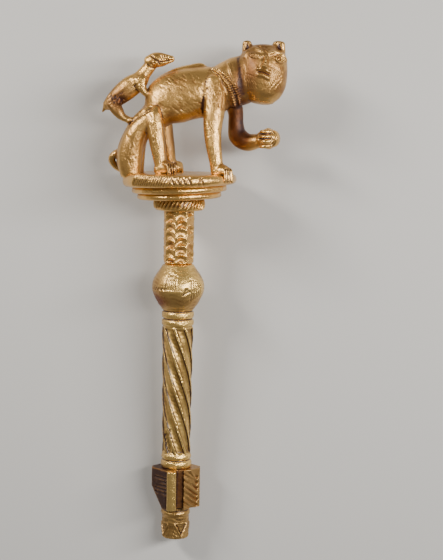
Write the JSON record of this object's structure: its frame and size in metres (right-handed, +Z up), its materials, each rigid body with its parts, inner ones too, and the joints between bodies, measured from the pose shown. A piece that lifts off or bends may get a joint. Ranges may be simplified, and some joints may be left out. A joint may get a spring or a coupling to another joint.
{
  "type": "sceptre",
  "caption": "Carved wooden sceptre covered in gold leaf: a big cat with a small animal on its back stands on a round stepped platform over a twisted, fluted staff.",
  "frame": {"origin": "centre of the footprint of the lying sceptre, on the ground it lies on", "axes": "+Y runs along the staff from its butt towards the figure's head, +Z is up, out of the side that the picture shows, and +X is to the right in the picture, the way the cat faces"},
  "size_m": [0.1634, 0.4484, 0.1],
  "materials": {
    "figure_leaf": "satin gold leaf over carved wood, toned coppery brown, worn on the high places",
    "staff_leaf": "satin gold leaf over carved wood, yellower than the figure, brown in the hollows"
  },
  "bodies": {
    "root": {"finial": "figure_leaf", "shaft": "staff_leaf"}
  },
  "joints": []
}
